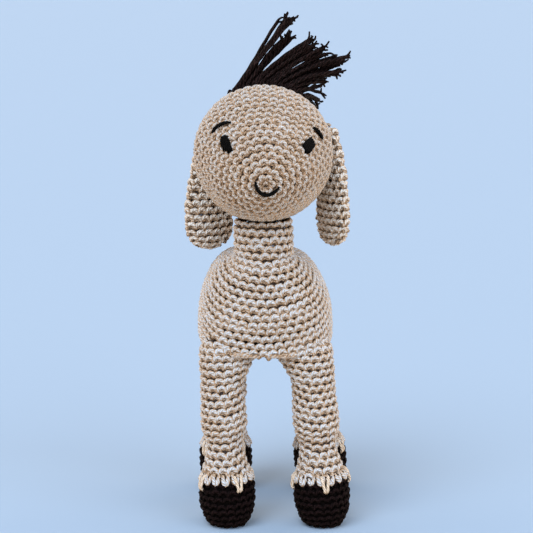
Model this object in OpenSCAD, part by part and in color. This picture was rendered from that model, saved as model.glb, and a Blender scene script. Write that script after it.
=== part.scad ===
// Crocheted goat with hanging ears and a yarn tuft: stuffed shells, sewn seams and yarn trim.
// Millimetres, +Z up. It stands on z = 0 and faces -Y, and its own left side is at +X.

/* [Torso] */
// Half of the torso's width at its widest level
torso_half_w = 32; // [28:0.5:40]
// How far the chest stands in front of the front leg line
chest_front = 16; // [14.5:0.5:22]
// How far the rump stands behind the rear leg line
rump_back = 16; // [14.5:0.5:24]
// Height of the belly above the floor
belly_z = 81; // [76:1:90]
// Height from the belly up to the torso's widest level
belly_rise = 16; // [14:1:24]
// Height from the widest level up to the top of the back
back_rise = 31.5; // [28:0.5:42]
// How far the rump sits to the goat's left of the chest
rump_side = -1.5; // [-4:0.5:4]
// Thickness of the crocheted fabric of the torso and neck
torso_wall = 3; // [2:0.25:4]

/* [Neck] */
// Outer radius of the neck
neck_r = 13.6; // [10:0.2:16]
// Length of straight neck above the back
neck_h = 13.7; // [8:0.1:24]
// Radius of the yarn of the seam between neck and head
neck_seam_r = 1.1; // [0.7:0.1:1.3]

/* [Head] */
// Radius of the round of the head
head_r = 32.2; // [29:0.1:38]
// How far the snout stands out of that round
snout = 4.5; // [0:0.25:9]
// Half angle over which the snout rises
snout_spread = 28; // [20:1:40]
// How deep the cheeks are drawn in below the eyes
cheek = 2.2; // [0:0.1:3]
// Angle from the muzzle at which the cheeks are deepest
cheek_at = 66; // [60:1:75]
// Half angle over which the cheeks are drawn in
cheek_spread = 22; // [15:1:30]
// How far the muzzle points below level
head_tilt = 14.5; // [0:0.5:25]
// How far the muzzle is turned to the goat's left
head_yaw = 1.5; // [-10:0.5:10]
// How far the head sits to the goat's left of the torso's middle
head_side = -1.2; // [-3:0.1:3]
// Thickness of the crocheted fabric of the head
head_wall = 3; // [2:0.25:4]

/* [Face] */
// Length of an eye patch
eye_len = 8.6; // [5:0.2:11]
// Width of an eye patch
eye_w = 4.7; // [2.5:0.1:6]
// How far the satin stitches of eyes and brows stand up
eye_thick = 0.9; // [0.5:0.1:1.6]
// Slant of the eye patches
eye_slant = 13; // [0:1:30]
// Angle of the left eye from the muzzle
eye_left_out = 47; // [40:1:52]
// Direction of the left eye round the muzzle
eye_left_round = 32; // [20:1:45]
// Angle of the right eye from the muzzle
eye_right_out = 45; // [40:1:52]
// Direction of the right eye round the muzzle
eye_right_round = 142; // [130:1:155]
// Length of a brow
brow_len = 9.5; // [6:0.5:12]
// Width of a brow at its middle
brow_w = 1.7; // [1:0.1:2.5]
// How far the middle of a brow bows up
brow_bow = 1.6; // [0:0.1:3]
// Slant of the brows, outer end away from the muzzle
brow_slant = 20; // [0:1:35]
// Angle of the left brow from the muzzle
brow_left_out = 69; // [60:1:75]
// Direction of the left brow round the muzzle
brow_left_round = 31; // [20:1:45]
// Angle of the right brow from the muzzle
brow_right_out = 66; // [59:1:75]
// Direction of the right brow round the muzzle
brow_right_round = 137; // [125:1:150]
// Radius of the smile line round the muzzle's middle
mouth_ring_r = 5.2; // [3:0.1:8]
// Radius of the yarn of the smile line
mouth_yarn_r = 0.9; // [0.5:0.1:1.3]
// Angle that the smile line spans
mouth_span = 160; // [60:2:180]
// Direction of the middle of the smile line round the muzzle
mouth_middle = 257; // [240:1:290]

/* [Ears] */
// Length of an ear from its seam to its tip
ear_len = 55; // [30:1:56]
// Width of an ear at its widest
ear_w = 24; // [16:0.5:30]
// Width of an ear at its seam
ear_top_w = 12; // [8:0.5:16]
// Thickness of an ear at its thickest
ear_thick = 9; // [5:0.5:10]
// Thickness of an ear at its seam
ear_top_thick = 6; // [4:0.5:7]
// Share of the ear's length where it is widest
ear_wide_at = 0.74; // [0.5:0.02:0.8]
// How far an ear bows out to lie round the head
ear_bow = 5.4; // [5:0.2:8]
// Height of the left ear's seam above the middle of the head
ear_left_up = 12.5; // [8:0.5:16]
// Height of the right ear's seam above the middle of the head
ear_right_up = 9; // [8:0.5:16]
// Radius of the yarn of the ear seams
ear_seam_r = 0.9; // [0.6:0.1:1.2]
// How far the seam stays inside each corner of an ear's top
ear_seam_inset = 2; // [1:0.5:4]
// How far behind the head's side the left ear is sewn
ear_left_round = 27; // [15:1:50]
// How far the left ear is twisted off the head's tangent
ear_left_twist = 4; // [0:1:30]
// How far the left ear slants, tip to the front
ear_left_slant = 0; // [-8:1:8]
// How far behind the head's side the right ear is sewn
ear_right_round = 42; // [15:1:50]
// How far the right ear is twisted off the head's tangent
ear_right_twist = 23; // [0:1:30]
// How far the right ear slants, tip to the neck
ear_right_slant = 2; // [-8:0.5:8]

/* [Tuft] */
// Number of strands in each row of the tuft
strand_count = 11; // [5:1:11]
// Radius of a strand
strand_r = 0.75; // [0.5:0.05:0.8]
// Mean length of a strand
strand_len = 34; // [20:0.5:42]
// Radius of the knot that holds a strand
knot_r = 1.1; // [0.9:0.05:1.15]
// Place of the first strand, sideways from the crown
tuft_from = -28; // [-36:1:-26]
// Place of the last strand, sideways from the crown
tuft_to = 32; // [28:1:36]
// How far the front row stands behind the crown
tuft_behind = 7; // [4:1:12]
// Angle from one row to the next
tuft_row_step = 8; // [7:0.5:10]
// How far the first strand leans over from upright
lean_first = 42; // [20:1:45]
// How far the last strands are swept to the back
sweep_back = 36; // [0:1:40]
// How far the last strand leans over from upright
lean_last = 108; // [90:1:110]

/* [Legs] */
// Half of the distance between the middles of the hips
hip_side = 21; // [18:0.5:24]
// Distance from the front leg line back to the rear leg line
leg_spacing = 60; // [45:1:80]
// Height of the hip centres above the belly
hip_above = 1; // [0.5:0.25:4]
// Radius of the round top of a leg
hip_r = 10.2; // [8:0.1:10.6]
// Radius of a leg at its thigh
thigh_r = 10; // [7:0.1:11]
// Height of the thigh's slimmest level
thigh_z = 66; // [60:1:68]
// Radius of a leg at its shin
shin_r = 10.8; // [8:0.1:12]
// Height of the shin's thickest level
shin_z = 50; // [46:1:55]
// Radius of the ankle
ankle_r = 8.4; // [6:0.1:9.5]
// Height of the ankle
ankle_z = 38.5; // [34:0.5:42]
// Radius of a hoof at its widest
hoof_r = 13.1; // [10:0.1:14]
// Height of the hoof's widest level
hoof_wide_z = 16; // [12:0.5:20]
// Height at which the yarn changes from hoof to leg
hoof_z = 23.5; // [21:0.5:26]
// Thickness of the crocheted fabric of legs and hooves
leg_wall = 2.6; // [1.8:0.1:3.2]
// Lean of the front left leg, foot to the goat's left
lean_front_left = 4.5; // [-6:0.5:6]
// Lean of the front right leg, foot to the goat's left
lean_front_right = 2.2; // [-6:0.1:6]
// Lean of the rear left leg, foot to the goat's left
lean_rear_left = 5.5; // [-6:0.5:6]
// Lean of the rear right leg, foot to the goat's left
lean_rear_right = 0.5; // [-6:0.5:6]

/* [Hoof stitches] */
// How far a V stitch reaches down over the hoof
spike_down = 4.5; // [3:0.5:9]
// How far a V stitch reaches up over the leg
spike_up = 2.5; // [1:0.5:4]
// Width of a V stitch at its top
spike_w = 3.8; // [2:0.2:6]
// Thickness of a V stitch
spike_thick = 1.1; // [0.6:0.1:1.6]
// Turn of the V stitches on the front left hoof
spike_turn_front_left = 4; // [-45:1:89]
// Turn of the V stitches on the front right hoof
spike_turn_front_right = 22; // [-45:1:89]
// Turn of the V stitches on the rear left hoof
spike_turn_rear_left = 58; // [-45:1:89]
// Turn of the V stitches on the rear right hoof
spike_turn_rear_right = 40; // [-45:1:89]

/* [Tail] */
// Length of the tail
tail_len = 20; // [10:1:30]
// Radius of the tail
tail_r = 3.2; // [2.2:0.1:5]
// Height of the tail's root above the torso's widest level
tail_up = 15; // [8:0.5:20]
// How far the hanging tail stands off from upright
tail_off = 20; // [15:1:60]
// Radius of the yarn of the tail seam
tail_seam_r = 0.8; // [0.5:0.1:1.2]

/* [Fits] */
// Gap between yarn trim and the fabric that it lies on
trim_gap = 0.2; // [0.15:0.05:0.4]
// Gap between pieces that move past each other
run_gap = 0.3; // [0.3:0.05:0.6]
// Gap between the round top of a leg and its pocket in the torso
pocket_gap = 0.6; // [0.5:0.05:0.9]
// Gap between the stuffing and the fabric round it
fill_gap = 0.3; // [0.2:0.05:0.5]
// Distance of the origin behind the front leg line
origin_y = 24.9; // [10:0.01:40]
// Distance of the origin to the goat's left of the torso's middle
origin_x = 2.25; // [-5:0.01:5]

/* [Hidden] */
$fn = 64;

beige = "#c9ab86";
hoof_brown = "#241719";
tuft_brown = "#2b1a1a";
black = "#111114";
white = "#eeeae2";
far = 300;                 // a length larger than the goat

wide_z = belly_z + belly_rise;
back_z = wide_z + back_rise;
rim_z = back_z + neck_h;
rump_y = leg_spacing + rump_back;
neck_seam_ring_r = neck_r - torso_wall / 2;
neck_seam_z = rim_z + run_gap + neck_seam_r;
neck_seam_reach = head_r + run_gap + neck_seam_r;    // from the head's middle
head_z = neck_seam_z + sqrt(pow(neck_seam_reach, 2) - pow(neck_seam_ring_r, 2));
head_centre = [head_side, 0, head_z];
hip_z = belly_z + hip_above;

belly_power = 8;           // how square the torso's lower edge is
back_power = 3;            // how full the back is, seen from the side
shoulder_power = 1.6;      // how full the shoulders are, seen from the front
torso_sides = 36;
hoof_power = 2.3;          // how full the hoof's bowl is
hoof_under = 3;            // how far the bowl's round would go on below the floor
cuff_power = 0.8;          // how soon the leg widens from ankle to hoof

// A leg is [hip middle, lean, turn of the V stitches].
front_left = [[hip_side, 0, hip_z], lean_front_left, spike_turn_front_left];
front_right = [[-hip_side, 0, hip_z], lean_front_right, spike_turn_front_right];
rear_left = [[hip_side, leg_spacing, hip_z], lean_rear_left, spike_turn_rear_left];
rear_right = [[-hip_side, leg_spacing, hip_z], lean_rear_right, spike_turn_rear_right];

function lerp(a, b, t) = a + (b - a) * t;
function ease(t) = (1 - cos(180 * min(1, max(0, t)))) / 2;
function bow(x, power) = pow(max(0, 1 - pow(x, power)), 1 / power);
function signed_power(x, power) = sign(x) * pow(abs(x), power);
function unit(v) = v / norm(v);

// Skins a list of rings, each of the same number of points, and closes both ends.
module loft(rings) {
    n = len(rings[0]);
    last = len(rings) - 1;
    points = [for (ring = rings) each ring];
    sides = [for (k = [0:last - 1], i = [0:n - 1], half = [0, 1])
        let (a = k * n + i, b = k * n + (i + 1) % n)
        half == 0 ? [a, a + n, b + n] : [a, b + n, b]];
    bottom = [for (i = [0:n - 1]) i];
    top = [for (i = [n - 1:-1:0]) last * n + i];
    polyhedron(points = points, faces = concat(sides, [bottom, top]), convexity = 6);
}

module place() {
    translate([-origin_x, -origin_y, 0]) children();
}

module above(z) {
    translate([-far / 2, -far / 2, z]) cube([far, far, far]);
}

module below(z) {
    translate([-far / 2, -far / 2, z - far]) cube([far, far, far]);
}

// ---- torso ----

function torso_ring(half_w, front, back, z, power, side) =
    [for (i = [0:torso_sides - 1])
        let (a = 360 * i / torso_sides)
        let (y = (front + back) / 2 + (back - front) / 2 * signed_power(sin(a), 2 / power))
        [side + half_w * signed_power(cos(a), 2 / power) + rump_side * y / rump_y, y, z]];

function side_at(z) = head_side * ease((z - wide_z) / (rim_z - wide_z));

// One ring between neck and widest level: w is the share of the width, l of the length.
function body_ring(inset, w, l, z) =
    torso_ring(lerp(neck_r, torso_half_w, w) - inset, -lerp(neck_r, chest_front, w) + inset,
        lerp(neck_r, rump_y, l) - inset, z, lerp(2, 2.7, l), side_at(z));

function lower_rings(inset, steps) = [for (k = [0:steps])
    let (a = lerp(84, 0, k / steps), share = pow(cos(a), 2 / belly_power))
    body_ring(inset, share, share, wide_z - (belly_rise - inset) * pow(sin(a), 2 / belly_power))];

function upper_rings(inset, steps) = [for (k = [1:steps])
    let (a = 90 * k / steps, rise = pow(sin(a), 2 / back_power))
    body_ring(inset, bow(rise, shoulder_power), bow(rise, back_power),
        wide_z + (back_rise - inset) * rise)];

function neck_rings(inset, top) = [for (k = [1:4])
    body_ring(inset, 0, 0, lerp(back_z - inset, top, k / 4))];

module torso_form(inset, top) {
    loft(concat(lower_rings(inset, 7), upper_rings(inset, 14), neck_rings(inset, top)));
}

module at_hips() {
    for (leg = [front_left, front_right, rear_left, rear_right])
        translate(leg[0]) children();
}

module hip_balls(grow) {
    at_hips() sphere(r = hip_r + pocket_gap + grow);
}

module hip_mouths() {
    mouth_r = hip_r + pocket_gap;
    at_hips() translate([0, 0, -hip_above - 1])
        cylinder(h = hip_above + 1, r1 = mouth_r + 2, r2 = mouth_r);
}

module body_shell() {
    color(beige) place() difference() {
        torso_form(0, rim_z);
        difference() {
            torso_form(torso_wall, rim_z + 1);
            hip_balls(torso_wall);
        }
        hip_balls(0);
        hip_mouths();
    }
}

module body_stuffing() {
    color(white) place() difference() {
        torso_form(torso_wall + fill_gap, rim_z - fill_gap);
        hip_balls(torso_wall + fill_gap);
    }
}

module neck_seam() {
    color(beige) place() translate([head_side, 0, neck_seam_z])
        rotate_extrude() translate([neck_seam_ring_r, 0]) circle(r = neck_seam_r, $fn = 24);
}

// ---- tail ----

function rump_at(z) = lerp(neck_r, rump_y, bow((z - wide_z) / back_rise, back_power));

tail_z = wide_z + tail_up;
tail_slope = atan2(rump_at(tail_z - 1) - rump_at(tail_z + 1), 2);
tail_out = [0, cos(tail_slope), sin(tail_slope)];    // the rump's normal at the root
tail_foot = [side_at(tail_z) + rump_side, rump_at(tail_z), tail_z];
tail_seam_ring_r = tail_r * 0.7;
tail_seam_at = tail_foot + tail_out * (run_gap + tail_seam_r * 1.2);
tail_root = tail_seam_at + tail_out * (tail_seam_r + 2 * run_gap + tail_r);

module tail_seam() {
    color(beige) place() translate(tail_seam_at) rotate([tail_slope - 90, 0, 0])
        rotate_extrude() translate([tail_seam_ring_r, 0]) circle(r = tail_seam_r, $fn = 24);
}

module tail() {
    color(beige) place() translate(tail_root) rotate([tail_off, 0, 0]) {
        sphere(r = tail_r);
        translate([0, 0, -tail_len + 2 * tail_r]) cylinder(h = tail_len - 2 * tail_r, r = tail_r);
        translate([0, 0, -tail_len + 2 * tail_r]) sphere(r = tail_r);
    }
}

// ---- head ----

// Distance from the head's middle to its surface at angle a from the muzzle.
function head_at(a) = head_r + snout * exp(-pow(a / snout_spread, 2))
    - cheek * exp(-pow((a - cheek_at) / cheek_spread, 2));

module at_muzzle() {
    translate(head_centre) rotate([90 + head_tilt, 0, head_yaw]) children();
}

module head_form(grow) {
    at_muzzle() rotate_extrude()
        polygon([for (a = [0:5:180]) (head_at(a) + grow) * [sin(a), cos(a)]]);
}

module head_skin(thick) {
    difference() {
        head_form(trim_gap + thick);
        head_form(trim_gap);
    }
}

module head_shell() {
    color(beige) place() difference() {
        head_form(0);
        head_form(-head_wall);
    }
}

module head_stuffing() {
    color(white) place() head_form(-head_wall - fill_gap);
}

// Stands an outline up through the head's surface, at angle out from the muzzle.
module stamp(out, round, slant) {
    at_muzzle() rotate([0, out, round]) rotate([0, 0, slant])
        translate([0, 0, head_r / 2]) linear_extrude(head_r) children();
}

module eye_outline() {
    polygon([for (a = [0:18:342])
        [eye_len / 2 * cos(a), eye_w / 2 * signed_power(sin(a), 0.8)]]);
}

// A stroke along Y that tapers to both ends and bows towards +X.
module brow_outline() {
    steps = 8;
    edge = [for (k = [0:steps])
        let (t = 2 * k / steps - 1, half = brow_w / 2 * (1 - 0.75 * t * t))
        [brow_bow * (1 - t * t), t * brow_len / 2, half]];
    polygon(concat([for (p = edge) [p[0] + p[2], p[1]]],
        [for (k = [steps:-1:0]) [edge[k][0] - edge[k][2], edge[k][1]]]));
}

module eye(out, round, slant) {
    color(black) place() intersection() {
        head_skin(eye_thick);
        stamp(out, round, slant) eye_outline();
    }
}

module brow(out, round, slant) {
    color(black) place() intersection() {
        head_skin(eye_thick);
        stamp(out, round, slant) brow_outline();
    }
}

module mouth() {
    lift = trim_gap + mouth_yarn_r;
    a = asin(mouth_ring_r / (head_r + snout + lift));
    color(black) place() at_muzzle() rotate([0, 0, mouth_middle - mouth_span / 2])
        rotate_extrude(angle = mouth_span)
            translate([mouth_ring_r, (head_at(a) + lift) * cos(a)])
                circle(r = mouth_yarn_r, $fn = 24);
}

// ---- tuft ----

function strand_share(i) = i / (strand_count - 1);
function strand_out(i, row) =
    let (a = lerp(tuft_from, tuft_to, strand_share(i)), b = tuft_behind + row * tuft_row_step)
    [sin(a), cos(a) * sin(b), cos(a) * cos(b)];
function strand_way(i, row) =
    let (lean = lerp(lean_first, lean_last, strand_share(i)) + 2 * row,
        back = 0.6 * (tuft_behind + row * tuft_row_step) + sweep_back * ease((strand_share(i) - 0.5) * 2))
    [sin(lean) * cos(back), sin(back), cos(lean) * cos(back)];
function strand_reach(i, row) = strand_len * (1 + 0.12 * sin(137.5 * i + 70 * row)
    + 0.25 * pow(1 - strand_share(i), 6));
function curve(a, b, c, t) = a * (1 - t) * (1 - t) + b * 2 * t * (1 - t) + c * t * t;
function curve_way(a, b, c, t) = unit((b - a) * (1 - t) + (c - b) * t);

module strand(i, row) {
    steps = 6;
    sides = 6;
    out = strand_out(i, row);
    start = head_centre + out * (head_r + 2 * knot_r + 3 * trim_gap);
    bend = start + unit(out + 1.5 * strand_way(i, row)) * strand_reach(i, row) * 0.2;
    tip = bend + strand_way(i, row) * strand_reach(i, row) * 0.8;
    loft([for (k = [0:steps])
        let (t = k / steps, middle = curve(start, bend, tip, t),
            way = curve_way(start, bend, tip, t),
            across = unit(cross([0, 1, 0], way)), beside = cross(way, across))
        [for (j = [0:sides - 1])
            middle + strand_r * (across * cos(360 * j / sides) + beside * sin(360 * j / sides))]]);
}

module tuft_row(row) {
    color(tuft_brown) place() for (i = [0:strand_count - 1]) strand(i, row);
}

module tuft_knots() {
    color(tuft_brown) place() for (row = [0:2], i = [0:strand_count - 1])
        translate(head_centre + strand_out(i, row) * (head_r + trim_gap + knot_r))
            sphere(r = knot_r, $fn = 24);
}

// ---- ears ----

ear_seam_half = ear_top_w / 2 - ear_seam_inset;
ear_sides = 20;

// An ear is [side, height of its seam, place behind the head's side, twist, slant];
// side is 1 for the left ear and -1 for the right one.
left_ear = [1, ear_left_up, ear_left_round, ear_left_twist, ear_left_slant];
right_ear = [-1, ear_right_up, ear_right_round, ear_right_twist, -ear_right_slant];

function ear_stand(ear) = sqrt(pow(head_r + run_gap + ear_seam_r, 2) - pow(ear[1], 2))
    + sin(ear[3]) * ear_seam_half;
function ear_pivot(ear) = head_centre
    + [ear[0] * cos(ear[2]) * ear_stand(ear), sin(ear[2]) * ear_stand(ear), ear[1]];

// How far out from its seam's line an ear meets the head, at x along the width.
function ear_need(ear, x, down) =
    let (across = x + ear[0] * sin(ear[3]) * ear_stand(ear), up = ear[1] - down)
    sqrt(max(0, pow(head_r + run_gap, 2) - across * across - up * up))
        - cos(ear[3]) * ear_stand(ear);

// How far out the middle of a ring lies to clear the head.
function ear_clear(ear, width, thick, down) = max([for (a = [180:18:360])
    ear_need(ear, width / 2 * cos(a), down) - thick / 2 * sin(a)]);

function ear_ring(ear, width, thick, bowed, down) =
    let (middle = max(bowed, ear_clear(ear, width, thick, down)))
    [for (i = [0:ear_sides - 1])
        let (a = 360 * i / ear_sides)
        [width / 2 * cos(a), middle + thick / 2 * sin(a), -down]];

// From the blunt tip up to the seam.
function ear_rings(ear) =
    let (top = ear_seam_r + run_gap, wide = top + ear_len * ear_wide_at)
    concat(
        [for (a = [84:-12:0])
            ear_ring(ear, ear_w * pow(cos(a), 0.8), ear_thick * pow(cos(a), 0.8), ear_bow,
                lerp(wide, top + ear_len, pow(sin(a), 0.8)))],
        [for (t = [0.875:-0.125:0])
            ear_ring(ear, lerp(ear_top_w, ear_w, ease(t)),
                lerp(ear_top_thick, ear_thick, ease(t)), ear_bow * ease(t * 3),
                lerp(top, wide, t))]);

module at_ear(ear) {
    translate(ear_pivot(ear)) rotate([0, 0, ear[0] * (ear[2] + ear[3] - 90)]) children();
}

module ear(ear) {
    color(beige) place() at_ear(ear) rotate([0, ear[4], 0]) loft(ear_rings(ear));
}

module ear_seam(ear) {
    color(beige) place() at_ear(ear) rotate([0, 90, 0])
        cylinder(h = 2 * ear_seam_half, r = ear_seam_r, center = true);
}

// ---- legs ----

// Radius of a leg at height h, measured along the leg.
function leg_at(h) =
    h > thigh_z ? lerp(thigh_r, hip_r, ease((h - thigh_z) / (hip_z - thigh_z)))
    : h > shin_z ? lerp(shin_r, thigh_r, ease((h - shin_z) / (thigh_z - shin_z)))
    : h > ankle_z ? lerp(ankle_r, shin_r, ease((h - ankle_z) / (shin_z - ankle_z)))
    : h > hoof_wide_z ? lerp(ankle_r, hoof_r,
        pow(ease((ankle_z - h) / (ankle_z - hoof_wide_z)), cuff_power))
    : hoof_r * bow((hoof_wide_z - h) / (hoof_wide_z + hoof_under), hoof_power);

module leg_form(leg, grow) {
    lowest = -hoof_under * 2 / 3;
    steps = 36;
    round_top = [for (a = [0:15:75]) (hip_r + grow) * [sin(a), cos(a)]];
    side = [for (k = [0:steps])
        let (h = lerp(hip_z, lowest, k / steps)) [leg_at(h) + grow, h - hip_z]];
    translate(leg[0]) rotate([0, -leg[1], 0])
        rotate_extrude() polygon(concat(round_top, side, [[0, lowest - hip_z]]));
}

module leg_wall_form(leg) {
    difference() {
        leg_form(leg, 0);
        intersection() {
            leg_form(leg, -leg_wall);
            above(leg_wall);
        }
    }
}

module leg(leg) {
    color(beige) place() intersection() {
        leg_wall_form(leg);
        above(hoof_z);
    }
}

module hoof(leg) {
    color(hoof_brown) place() difference() {
        leg_wall_form(leg);
        above(hoof_z);
        below(0);
    }
}

module leg_stuffing(leg) {
    color(white) place() intersection() {
        leg_form(leg, -leg_wall - fill_gap);
        above(leg_wall + fill_gap);
    }
}

// One V stitch as an outline: the point is down, and the yarn change is at height 0.
module spike_outline() {
    bar = 0.4 * spike_w;
    polygon([[0, -spike_down], [spike_w / 2, spike_up], [spike_w / 2 - bar, spike_up],
        [0, 2 * bar - spike_down], [bar - spike_w / 2, spike_up], [-spike_w / 2, spike_up]]);
}

module spikes(leg) {
    color(beige) place() intersection() {
        difference() {
            leg_form(leg, trim_gap + spike_thick);
            leg_form(leg, trim_gap);
        }
        translate([leg[0][0] + (hip_z - hoof_z) * tan(leg[1]), leg[0][1], hoof_z])
            for (quarter = [0:3]) rotate([90, 0, leg[2] + 90 * quarter])
                linear_extrude(2 * hoof_r) spike_outline();
    }
}

body_shell();
body_stuffing();
neck_seam();
tail_seam();
tail();
head_shell();
head_stuffing();
eye(eye_left_out, eye_left_round, eye_slant);  // eye_left
eye(eye_right_out, eye_right_round, -eye_slant);  // eye_right
brow(brow_left_out, brow_left_round, brow_slant);  // brow_left
brow(brow_right_out, brow_right_round, -brow_slant);  // brow_right
mouth();
tuft_knots();
tuft_row(0);  // tuft_front
tuft_row(1);  // tuft_middle
tuft_row(2);  // tuft_back
ear_seam(left_ear);  // ear_seam_left
ear_seam(right_ear);  // ear_seam_right
ear(left_ear);  // ear_left
ear(right_ear);  // ear_right
leg(front_left);  // leg_front_left
leg(front_right);  // leg_front_right
leg(rear_left);  // leg_rear_left
leg(rear_right);  // leg_rear_right
leg_stuffing(front_left);  // leg_stuffing_front_left
leg_stuffing(front_right);  // leg_stuffing_front_right
leg_stuffing(rear_left);  // leg_stuffing_rear_left
leg_stuffing(rear_right);  // leg_stuffing_rear_right
hoof(front_left);  // hoof_front_left
hoof(front_right);  // hoof_front_right
hoof(rear_left);  // hoof_rear_left
hoof(rear_right);  // hoof_rear_right
spikes(front_left);  // spikes_front_left
spikes(front_right);  // spikes_front_right
spikes(rear_left);  // spikes_rear_left
spikes(rear_right);  // spikes_rear_right
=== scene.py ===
import math
import bmesh
import bpy
import numpy as np
from mathutils import Matrix, Vector
from mathutils.bvhtree import BVHTree


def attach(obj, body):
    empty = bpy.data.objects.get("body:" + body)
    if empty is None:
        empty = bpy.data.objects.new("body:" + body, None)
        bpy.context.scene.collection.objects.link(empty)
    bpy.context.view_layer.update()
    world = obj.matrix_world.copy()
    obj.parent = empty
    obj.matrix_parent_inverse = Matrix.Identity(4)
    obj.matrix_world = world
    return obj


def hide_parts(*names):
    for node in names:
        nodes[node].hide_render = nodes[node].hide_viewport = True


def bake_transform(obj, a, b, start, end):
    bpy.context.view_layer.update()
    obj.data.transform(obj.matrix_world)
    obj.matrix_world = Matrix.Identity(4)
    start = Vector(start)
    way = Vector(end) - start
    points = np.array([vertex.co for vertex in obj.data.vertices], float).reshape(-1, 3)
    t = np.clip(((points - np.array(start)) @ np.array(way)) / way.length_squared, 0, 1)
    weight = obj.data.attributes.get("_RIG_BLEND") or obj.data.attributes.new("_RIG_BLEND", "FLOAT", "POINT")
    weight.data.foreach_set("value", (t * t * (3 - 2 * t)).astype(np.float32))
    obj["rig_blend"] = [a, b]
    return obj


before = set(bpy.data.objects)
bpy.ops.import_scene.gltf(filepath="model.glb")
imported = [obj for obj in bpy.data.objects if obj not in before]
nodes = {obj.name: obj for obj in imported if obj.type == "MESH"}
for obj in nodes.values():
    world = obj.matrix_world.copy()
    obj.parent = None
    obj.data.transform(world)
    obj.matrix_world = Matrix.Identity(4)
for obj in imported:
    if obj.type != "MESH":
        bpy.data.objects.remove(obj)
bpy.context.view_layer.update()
mm = 0.001  # every size below is in millimetres unless a note says otherwise
print("frame loaded:", len(nodes), "nodes")

# ---- camera, settled by the image points ----

photoSize = 533
cameraView = {"place": (-0.00205, -0.7999, 0.254), "pitchDown": 9.55, "lens": 114.82,
              "sensorWidth": 36.0, "shiftX": 0.0, "shiftY": 0.0}
imagePoints = {
    "leftmost": (184.5, None), "rightmost": (351.5, None),
    "topmost": (None, 12.0), "lowest": (None, 528.0),
    "eyeRight": (226.0, 143.8), "eyeLeft": (309.2, 145.5),
    "browRight": (220.5, 125.8), "browLeft": (318.8, 132.8),
    "mouth": (266.5, 190.0), "muzzlePole": (265.8, 184.3),
    "earRightTip": (210.0, 249.5), "earLeftTip": (333.5, 245.0),
    "neckLeft": (235.5, 238.0), "neckRight": (294.0, 238.0),
    "hoofRightSole": (227.5, 528.0), "hoofLeftSole": (322.8, 527.2),
    "spikeRight": (238.8, 487.0), "spikeLeft": (325.8, 486.0),
}

cameraData = bpy.data.cameras.new("camera")
cameraData.sensor_fit = "AUTO"
cameraData.sensor_width = cameraView["sensorWidth"]
cameraData.lens = cameraView["lens"]
cameraData.shift_x = cameraView["shiftX"]
cameraData.shift_y = cameraView["shiftY"]
cameraData.clip_start, cameraData.clip_end = 0.01, 100
camera = bpy.data.objects.new("camera", cameraData)
bpy.context.scene.collection.objects.link(camera)
camera.location = cameraView["place"]
camera.rotation_euler = (math.radians(90 - cameraView["pitchDown"]), 0, 0)
bpy.context.scene.camera = camera
bpy.context.view_layer.update()
cameraMatrix = np.array(camera.matrix_world)


def rayThrough(x, y):
    # start and direction of the ray through an image point, in the frame
    way = Vector((x - photoSize / 2 + cameraView["shiftX"] * photoSize,
                  photoSize / 2 - y + cameraView["shiftY"] * photoSize,
                  -photoSize * cameraView["lens"] / cameraView["sensorWidth"]))
    turn = camera.matrix_world.to_3x3()
    return camera.location.copy(), (turn @ way).normalized()


def toImage(points):
    # image x and y of an array of points
    local = (np.asarray(points) - cameraMatrix[:3, 3]) @ cameraMatrix[:3, :3]
    scale = photoSize * cameraView["lens"] / cameraView["sensorWidth"] / -local[:, 2]
    return np.stack([photoSize / 2 - cameraView["shiftX"] * photoSize + local[:, 0] * scale,
                     photoSize / 2 + cameraView["shiftY"] * photoSize - local[:, 1] * scale], 1)


def onSurface(point, tree):
    # where the ray through an image point meets a surface, or the surface nearest to the ray
    start, way = rayThrough(*point)
    place, normal, _, _ = tree.ray_cast(start, way)
    if place is None:
        best = None
        for k in range(400):
            near, normal, _, far = tree.find_nearest(start + way * (0.6 + 0.001 * k))
            if best is None or far < best[0]:
                best = (far, near, normal)
        place, normal = best[1], best[2]
    return place, normal


# ---- yarn ----

yarnValues = {"stitchWide": 4.4, "roundGap": 3.85, "thick": 1.96, "plies": 3, "plyTurn": 0.42}


def unitRows(v):
    return v / np.maximum(np.linalg.norm(v, axis=-1, keepdims=True), 1e-9)


def stationMatrices(path, radii, twist):
    # one matrix for each point of a path: its ring's plane, turned without kinks
    path = [Vector(p) for p in path]
    ways = []
    for k in range(len(path)):
        a, b = path[max(0, k - 1)], path[min(len(path) - 1, k + 1)]
        ways.append((b - a).normalized())
    side = ways[0].orthogonal().normalized()
    found = []
    for k, (p, way) in enumerate(zip(path, ways)):
        side = (side - way * side.dot(way)).normalized()
        m = Matrix.Identity(4)
        for r in range(3):
            m[r][0], m[r][1], m[r][2], m[r][3] = side[r], way.cross(side)[r], way[r], p[r]
        found.append(m @ Matrix.Rotation(twist * k, 4, "Z") @ Matrix.Diagonal(
            (radii[k], radii[k], radii[k], 1)))
    return found


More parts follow.
